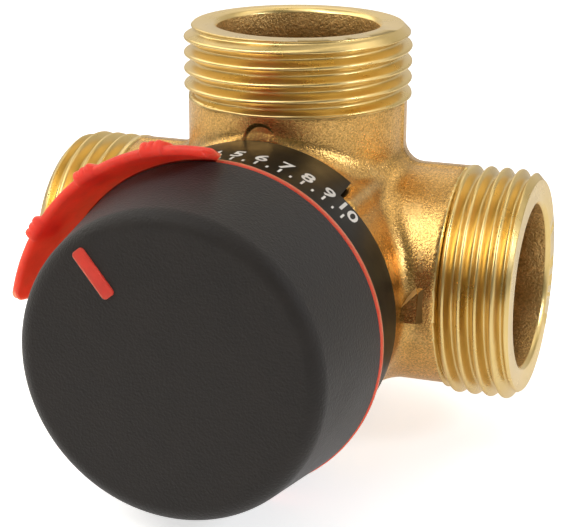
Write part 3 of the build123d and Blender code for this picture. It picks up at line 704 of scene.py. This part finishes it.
def rounded(corners, radius, steps=4, closed=True):
    """The same outline with each corner turned on an arc. A corner's third value is a radius of its own."""
    outline = []
    count = len(corners)
    for n, corner in enumerate(corners):
        here = np.array(corner[:2], float)
        arc = corner[2] if len(corner) > 2 else radius
        if arc <= 0 or (not closed and n in (0, count - 1)):
            outline.append(tuple(here))
            continue
        before = np.array(corners[n - 1][:2], float) - here
        after = np.array(corners[(n + 1) % count][:2], float) - here
        before /= np.linalg.norm(before)
        after /= np.linalg.norm(after)
        half = math.acos(np.clip(before @ after, -1, 1)) / 2
        reach = arc / math.tan(half)
        centre = here + (before + after) / np.linalg.norm(before + after) * arc / math.sin(half)
        first = here + before * reach - centre
        last = here + after * reach - centre
        for step in range(steps + 1):
            t = step / steps
            ray = first * (1 - t) + last * t
            outline.append(tuple(centre + ray * arc / np.linalg.norm(ray)))
    return outline


def joined(parts):
    """Several (points, faces) meshes as one."""
    all_points, all_faces, start = [], [], 0
    for points, faces in parts:
        all_points.append(np.asarray(points, float))
        all_faces += [tuple(int(v) + start for v in face) for face in faces]
        start += len(points)
    return np.concatenate(all_points), all_faces


def about_axis(out, side, depth, angle):
    """The point that far out, to the side and to the front, turned to an angle about the knob axis."""
    x = out * math.cos(angle) - side * math.sin(angle)
    return x, -depth, out * math.sin(angle) + side * math.cos(angle)


def box_corners(low, high):
    """The four corners of a box's low side and the four of its high side."""
    (x0, y0, z0), (x1, y1, z1) = low, high
    return [(x, y, z) for z in (z0, z1) for x, y in ((x0, y0), (x1, y0), (x1, y1), (x0, y1))]


def ring_piece(inner_r, outer_r, rear, front, start, end, steps=24):
    """A piece of a flat ring between two angles in degrees, closed at both ends."""
    profile = [(inner_r, rear), (outer_r, rear), (outer_r, front), (inner_r, front)]
    turn = math.radians(end - start)
    points, faces = lathe(profile, steps, start=math.radians(start), sweep=turn)
    first = [row * steps for row in range(4)]
    last = [row * steps + steps - 1 for row in range(4)]
    return points, list(faces) + [tuple(first[::-1]), tuple(last)]


sleeve_plastic = plastic(
    "sleeve_black", (0.011, 0.0092, 0.007), roughness=(0.36, 0.44), grain=5.0, grain_depth=0.010, gloss=0.18)
scale_ink = plastic(
    "scale_ink", (0.78, 0.74, 0.68), roughness=(0.42, 0.5), grain=4.0, grain_depth=0.004)
sleeve_steps = 360
edge_r = 0.12
sleeve_profile = rounded([
    (sleeve_inner_r, 0.0, edge_r), (sleeve_outer_r, 0.0, edge_r),
    (sleeve_outer_r, sleeve_front - sleeve_edge, edge_r),
    (sleeve_outer_r - sleeve_edge, sleeve_front, edge_r / 2),
    (sleeve_inner_r, sleeve_front, edge_r), (sleeve_inner_r, sleeve_web_front, 0),
    (sleeve_web_inner_r, sleeve_web_front, edge_r), (sleeve_web_inner_r, sleeve_web_rear, edge_r),
    (sleeve_inner_r, sleeve_web_rear, 0),
], edge_r, 3)
sleeve_points, sleeve_faces = lathe(sleeve_profile, sleeve_steps)
around = np.arctan2(sleeve_points[:, 2], sleeve_points[:, 0])
tab_slack = math.radians(0.35)
inside_tab = np.clip((around - sleeve_tab[0]) / tab_slack, 0, 1)
inside_tab = inside_tab * np.clip((sleeve_tab[1] - around) / tab_slack, 0, 1)
rear = sleeve_rear + (sleeve_tab_rear - sleeve_rear) * inside_tab
at_rear = -sleeve_points[:, 1] < 1.0
sleeve_points[at_rear, 1] -= rear[at_rear]
sleeve_parts = [(sleeve_points, sleeve_faces)]
for lug in stop_lugs:
    sleeve_parts.append(ring_piece(*stop_lug_r, sleeve_web_front - lug_overlap, stop_lug_front, *lug))


def figure(text, size):
    """Thin solid of a printed figure, centred on its foot, in millimetres."""
    curve = bpy.data.curves.new("figure", "FONT")
    curve.body = text
    curve.size = size / capital_share
    curve.offset = size * stroke_share
    curve.extrude = ink_depth / 2
    curve.align_x = "CENTER"
    curve.resolution_u = 3
    holder = bpy.data.objects.new("figure", curve)
    mesh = bpy.data.meshes.new_from_object(holder)
    points = np.array([v.co[:3] for v in mesh.vertices])
    faces = [tuple(p.vertices) for p in mesh.polygons]
    bpy.data.objects.remove(holder)
    bpy.data.meshes.remove(mesh)
    bpy.data.curves.remove(curve)
    return points, faces


def printed(points, angle, foot):
    """Points wrapped on the sleeve, with their foot at a depth and their head to the rear."""
    turned = math.radians(angle) - points[:, 0] / sleeve_outer_r
    r = sleeve_outer_r + ink_lift - ink_depth / 2 + points[:, 2]
    return np.stack([r * np.cos(turned), points[:, 1] - foot, r * np.sin(turned)], 1)


ink = []
for value, angle in enumerate(np.linspace(scale_from, scale_to, scale_count)):
    points, faces = figure(str(value), figure_height)
    ink.append((printed(points, angle, figure_foot), faces))
for n, angle in enumerate(np.linspace(scale_from, scale_to, 2 * scale_count - 1)):
    length = tick_length if n % 2 == 0 else tick_length / 2
    half = tick_width / 2
    corners = box_corners((-half, 0, -ink_depth / 2), (half, length, ink_depth / 2))
    ink.append((printed(np.array(corners), angle, tick_foot), box_sides))
moulded_faces = sum(len(faces) for points, faces in sleeve_parts)
sleeve_points, sleeve_faces = joined(sleeve_parts + ink)
sleeve_slots = np.arange(len(sleeve_faces)) >= moulded_faces
dial_sleeve = mesh_object("dial_sleeve_moulding", sleeve_points, sleeve_faces, [sleeve_plastic, scale_ink],
                          sleeve_slots, crease=35)
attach(dial_sleeve, "housing")
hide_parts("dial_sleeve")

# Knob core
# A glossy red moulding: a thin disc that shows as a red line, a flared lip with three ribbed pads to push
# with a finger, and a blade that stands through the cap as the pointer. Its hub clips on the shaft.
disc_r = 23.35
disc_rear = 31.95
disc_front = 32.85
lip_outer_r = 26.95
lip_rim = 40.1
lip_wall = 1.3
lip_flare = math.radians(20.8)
lip_rim_round = 0.62
lip_root_angle = 89.0
lip_tip_angle = 84.0
lip_end_angle = 173.5
lip_slant_limits = (-0.4, 1.2)
lip_sunk = 0.2
lip_foot_round = 0.1
lip_corners = (1.0, 1.5)
pads = (102.6, 125.4, 149.2)
pad_half = 3.2
pad_height = 0.5
pad_rear = 35.0
pad_over_rim = 0.8
pad_rim_fade = 1.2
pad_foot_fade = 0.5
ridge_height = 0.28
ridge_half = 1.0
ridge_apart = 2.13
ridge_ends = (0.6, 0.4)
ridge_fade = 0.5
side_fade = 0.7
lip_flare_start = 135.0
lip_flare_end = 0.45
pointer_angle = math.radians(128.2)
pointer_reach = (11.65, 18.9)
pointer_width = 1.9
pointer_corner = 0.55
pointer_face = 50.1
pointer_edge = 0.2
hub_r = 8.2
hub_front = 44.7
hub_bore_r = 5.05
register_r = 21.2
register_wall = 1.3
register_front = 34.15
core_edge_r = 0.15
register_edge_r = 0.2
hub_edge_r = 0.3
stop_rib_r = (14.0, 18.0)
stop_rib_angle = (121.2, 135.2)
stop_rib_rear = 29.95
stop_rib_overlap = 0.1
knob_steps = 256

red_plastic = plastic(
    "core_red", (0.80, 0.054, 0.032), roughness=(0.40, 0.48), grain=4.0, grain_depth=0.008, gloss=0.26,
    glow=1.0)
lip_corner_depth = lip_rim - lip_wall * math.sin(lip_flare)
lip_inner_rim_r = lip_outer_r - lip_wall * math.cos(lip_flare)
lip_foot_r = lip_outer_r - (lip_corner_depth - disc_rear) * math.tan(lip_flare)
lip_step = 0.25
lip_steps = 440
lip_end_round = 0.3
pad_length = lip_corner_depth - pad_rear


def even_outline(outline, step):
    """The outline with points added so that none are further apart than the step."""
    filled = []
    for n, point in enumerate(outline):
        here = np.array(point)
        ahead = np.array(outline[(n + 1) % len(outline)])
        pieces = max(1, int(np.linalg.norm(ahead - here) / step))
        filled += [here + (ahead - here) * k / pieces for k in range(pieces)]
    return np.array(filled)


def lip_limit(radius, depth, corner, slanted):
    """Angle in degrees at which the lip ends for a point of its section, and how far its corner gives way."""
    base = lip_end_angle
    if slanted:
        root = disc_r * np.exp(1j * math.radians(lip_root_angle))
        tip = lip_outer_r * np.exp(1j * math.radians(lip_tip_angle))
        share = (radius - disc_r) / (lip_outer_r - disc_r)
        spot = root + (tip - root) * np.clip(share, *lip_slant_limits)
        base = math.degrees(np.angle(spot))
    rim_here = lip_corner_depth + (lip_outer_r - radius) * math.tan(lip_flare)
    into = np.clip(depth - (rim_here - corner), 0, corner)
    give = corner - math.sqrt(max(corner ** 2 - into ** 2, 0))
    return base, math.degrees(give / radius)


lip_section = even_outline(rounded([
    (disc_r - lip_wall, disc_rear + lip_sunk, 0), (disc_r - lip_wall, disc_front - lip_sunk, 0),
    (disc_r, disc_front - lip_sunk / 4, 0), (lip_inner_rim_r, lip_rim, lip_rim_round),
    (lip_outer_r, lip_corner_depth, lip_rim_round), (lip_foot_r, disc_rear, lip_foot_round),
], radius=0, steps=6), lip_step)
along = np.roll(lip_section, -1, 0) - np.roll(lip_section, 1, 0)
along /= np.linalg.norm(along, axis=1)[:, None]
lip_normals = np.stack([-along[:, 1], along[:, 0]], 1)
gaps = np.linalg.norm(np.roll(lip_section, -1, 0) - lip_section, axis=1)
run = np.concatenate([[0], np.cumsum(gaps)[:-1]])
corner = np.argmin(np.hypot(lip_section[:, 0] - lip_outer_r, lip_section[:, 1] - lip_corner_depth))
past_corner = run - run[corner]
pad_share = ease((past_corner + 2 * pad_over_rim) / pad_rim_fade)
pad_share = pad_share * ease((pad_length - past_corner) / pad_foot_fade)
ridge_share = ease((past_corner + ridge_ends[0]) / ridge_fade)
ridge_share = ridge_share * ease((pad_length - ridge_ends[1] - past_corner) / ridge_fade)

lip_points = []
column = np.linspace(0, 1, lip_steps)
for row, (radius, depth) in enumerate(lip_section):
    out_r, out_d = lip_normals[row]
    low, low_give = lip_limit(radius, depth, lip_corners[0], True)
    high, high_give = lip_limit(radius, depth, lip_corners[1], False)
    degrees = low + low_give + (high - high_give - low - low_give) * column
    from_end = np.radians(np.minimum(degrees - degrees[0], degrees[-1] - degrees)) * radius
    inset = lip_end_round - np.sqrt(lip_end_round ** 2 - np.maximum(lip_end_round - from_end, 0) ** 2)
    inset *= ease(depth - disc_front)
    swell = np.zeros(lip_steps)
    for pad in pads:
        off = degrees - pad
        swell += pad_share[row] * pad_height * ease((pad_half + side_fade / 2 - np.abs(off)) / side_fade)
        for ridge in (-1, 0, 1):
            ridge_off = np.abs(off - ridge * ridge_apart)
            swell += ridge_share[row] * ridge_height * ease((ridge_half - ridge_off) / side_fade)
    towards_end = (degrees - lip_flare_start) / (lip_end_angle - lip_flare_start)
    flare = lip_flare_end * np.clip(towards_end, 0, 1) ** 2
    flare = flare * np.clip((depth - disc_front) / (lip_rim - disc_front), 0, 1)
    r = radius + out_r * (swell - inset) + flare
    d = depth + out_d * (swell - inset)
    angle = np.radians(degrees)
    lip_points.append(np.stack([r * np.cos(angle), -d, r * np.sin(angle)], 1))
lip_points = np.concatenate(lip_points)
section_count = len(lip_section)
lip_faces = []
for row in range(section_count):
    this = row * lip_steps
    ahead = (row + 1) % section_count * lip_steps
    for n in range(lip_steps - 1):
        lip_faces.append((ahead + n, ahead + n + 1, this + n + 1, this + n))
for n in range(section_count // 2):
    rung = [n, n + 1, section_count - 2 - n, section_count - 1 - n]
    rung = list(dict.fromkeys(rung))
    if len(rung) > 2:
        lip_faces.append(tuple(row * lip_steps for row in rung))
        lip_faces.append(tuple(row * lip_steps + lip_steps - 1 for row in reversed(rung)))


def blade(length_range, width, corner, rear, front, angle, edge):
    """A bar along the knob axis, with rounded corners seen from the front and a softened front edge."""
    low, high = length_range
    softened = 0.3 * edge
    layers = [(0.0, rear), (0.0, front - edge), (softened, front - softened), (edge, front)]
    points, faces = [], []
    for inset, depth in layers:
        side = width / 2 - inset
        outline = rounded([
            (low + inset, -side), (high - inset, -side), (high - inset, side), (low + inset, side),
        ], radius=corner - inset / 2, steps=6)
        points += [about_axis(r, s, depth, angle) for r, s in outline]
    count = len(outline)
    for this in range(0, len(points) - count, count):
        for n in range(count):
            m = (n + 1) % count
            faces.append((this + n, this + m, this + count + m, this + count + n))
    faces.append(tuple(range(count - 1, -1, -1)))
    faces.append(tuple(range(len(points) - count, len(points))))
    return points, faces


register_inner_r = register_r - register_wall
core_profile = rounded([
    (hub_bore_r, disc_rear, 0), (disc_r, disc_rear, core_edge_r), (disc_r, disc_front, core_edge_r),
    (register_r, disc_front, 0), (register_r, register_front, register_edge_r),
    (register_inner_r, register_front, register_edge_r), (register_inner_r, disc_front, 0),
    (hub_r, disc_front, hub_edge_r), (hub_r, hub_front, hub_edge_r), (hub_bore_r, hub_front, register_edge_r),
], radius=0)
core_parts = [
    lathe(core_profile, knob_steps), (lip_points, lip_faces),
    blade(pointer_reach, pointer_width, pointer_corner, disc_front, pointer_face, pointer_angle, pointer_edge),
    ring_piece(*stop_rib_r, stop_rib_rear, disc_rear + stop_rib_overlap, *stop_rib_angle),
]
core_points, core_faces = joined(core_parts)
knob_core = mesh_object("knob_core_moulding", core_points, core_faces, [red_plastic], crease=40)
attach(knob_core, "knob_and_rotor")
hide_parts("knob_core")

# Knob cap
# A black cover with a soft-touch coat, tapered for a firm grip and rounded at the face. Ribs and a
# socket inside press it on the core, and the pointer blade stands through its face.
cap_rear = 32.85
cap_face = 49.75
cap_rear_r = 23.2
cap_face_r = 20.7
cap_edge_r = 2.4
cap_wall = 1.8
cap_socket_r = (9.0, 10.4)
cap_socket_rear = 35.2
cap_rib_rear = 38.5
cap_rib_width = 1.2
cap_rib_count = 6
cap_rib_overlap = 0.2
cap_small_edge_r = 0.15
cap_inner_corner_r = 0.3
cap_middle_r = 0.02
cap_face_step = 0.1
cap_face_band = 1.0

soft_touch = plastic(
    "soft_touch_coat", (0.0180, 0.0140, 0.0112), roughness=(0.50, 0.60), grain=3.0, grain_depth=0.10,
    mottle=0.2, gloss=0.22, fuzz=0.15)
cap_inner_face = cap_face - cap_wall
taper = (cap_rear_r - cap_face_r) / (cap_face - cap_rear)
inner_rear_r = cap_rear_r - cap_wall
inner_face_r = cap_rear_r - taper * (cap_inner_face - cap_rear) - cap_wall
cap_flat_r = cap_face_r - cap_edge_r - cap_face_step
cap_outline = rounded([
    (cap_middle_r, cap_inner_face, 0), (cap_socket_r[0], cap_inner_face, 0),
    (cap_socket_r[0], cap_socket_rear, cap_small_edge_r),
    (cap_socket_r[1], cap_socket_rear, cap_small_edge_r),
    (cap_socket_r[1], cap_inner_face, 0), (inner_face_r, cap_inner_face, cap_inner_corner_r),
    (inner_rear_r, cap_rear, cap_small_edge_r), (cap_rear_r, cap_rear, cap_small_edge_r),
    (cap_face_r, cap_face, cap_edge_r), (cap_flat_r, cap_face, 0), (cap_flat_r - cap_face_band, cap_face, 0),
    (cap_flat_r / 2, cap_face, 0), (cap_middle_r, cap_face, 0),
], radius=0, steps=12, closed=False)
cap_parts = [lathe(cap_outline, knob_steps)]
rib_low = (cap_socket_r[1] - cap_rib_overlap, -cap_rib_width / 2, cap_rib_rear)
rib_high = (inner_face_r + cap_rib_overlap, cap_rib_width / 2, cap_inner_face + cap_rib_overlap)
for n in range(cap_rib_count):
    rib_angle = pointer_angle + math.radians((n + 0.5) * 360 / cap_rib_count)
    rib_points = [about_axis(*corner, rib_angle) for corner in box_corners(rib_low, rib_high)]
    cap_parts.append((rib_points, box_sides))
cap_points, cap_faces = joined(cap_parts)
knob_cap = mesh_object("knob_cap_cover", cap_points, cap_faces, [soft_touch], crease=40)
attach(knob_cap, "knob_and_rotor")
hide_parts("knob_cap")

# Inner pieces
# The rotor, bearings, shaft, seals and clips keep the form they were made with. They show only through
# the open ports, so each gets the finish of its own stuff: turned brass, spring steel, moulding or rubber.
turned_brass = metal(
    "turned_rotor_brass", [(0.3, (0.46, 0.30, 0.13)), (0.7, (0.60, 0.42, 0.20))],
    roughness=(0.30, 0.42), grain=5.0, grain_depth=0.02)
spring_steel = metal(
    "spring_steel", [(0.3, (0.42, 0.42, 0.43)), (0.7, (0.60, 0.60, 0.61))],
    roughness=(0.24, 0.34), grain=6.0, grain_depth=0.01)
composite = plastic(
    "glass_filled_composite", (0.05, 0.05, 0.052), roughness=(0.42, 0.52), grain=4.0, grain_depth=0.02)
bearing_plastic = plastic(
    "bearing_plastic", (0.62, 0.58, 0.50), roughness=(0.35, 0.45), grain=4.0, grain_depth=0.01)
seal_rubber = plastic(
    "seal_rubber", (0.02, 0.02, 0.02), roughness=(0.5, 0.6), grain=3.0, grain_depth=0.02)
finishes = {
    "rotor": turned_brass, "drive_pin": spring_steel, "bonnet_retaining_ring": spring_steel,
    "knob_spring_clip": spring_steel, "shaft": composite, "bonnet": composite,
    "rear_bearing": bearing_plastic, "rear_thrust_washer": bearing_plastic,
    "front_thrust_washer": bearing_plastic,
    "bonnet_o_ring": seal_rubber, "inner_shaft_o_ring": seal_rubber, "outer_shaft_o_ring": seal_rubber,
    "shaft_wiper": seal_rubber,
}
for name, material in finishes.items():
    node = nodes[name]
    node.data.materials.clear()
    node.data.materials.append(material)
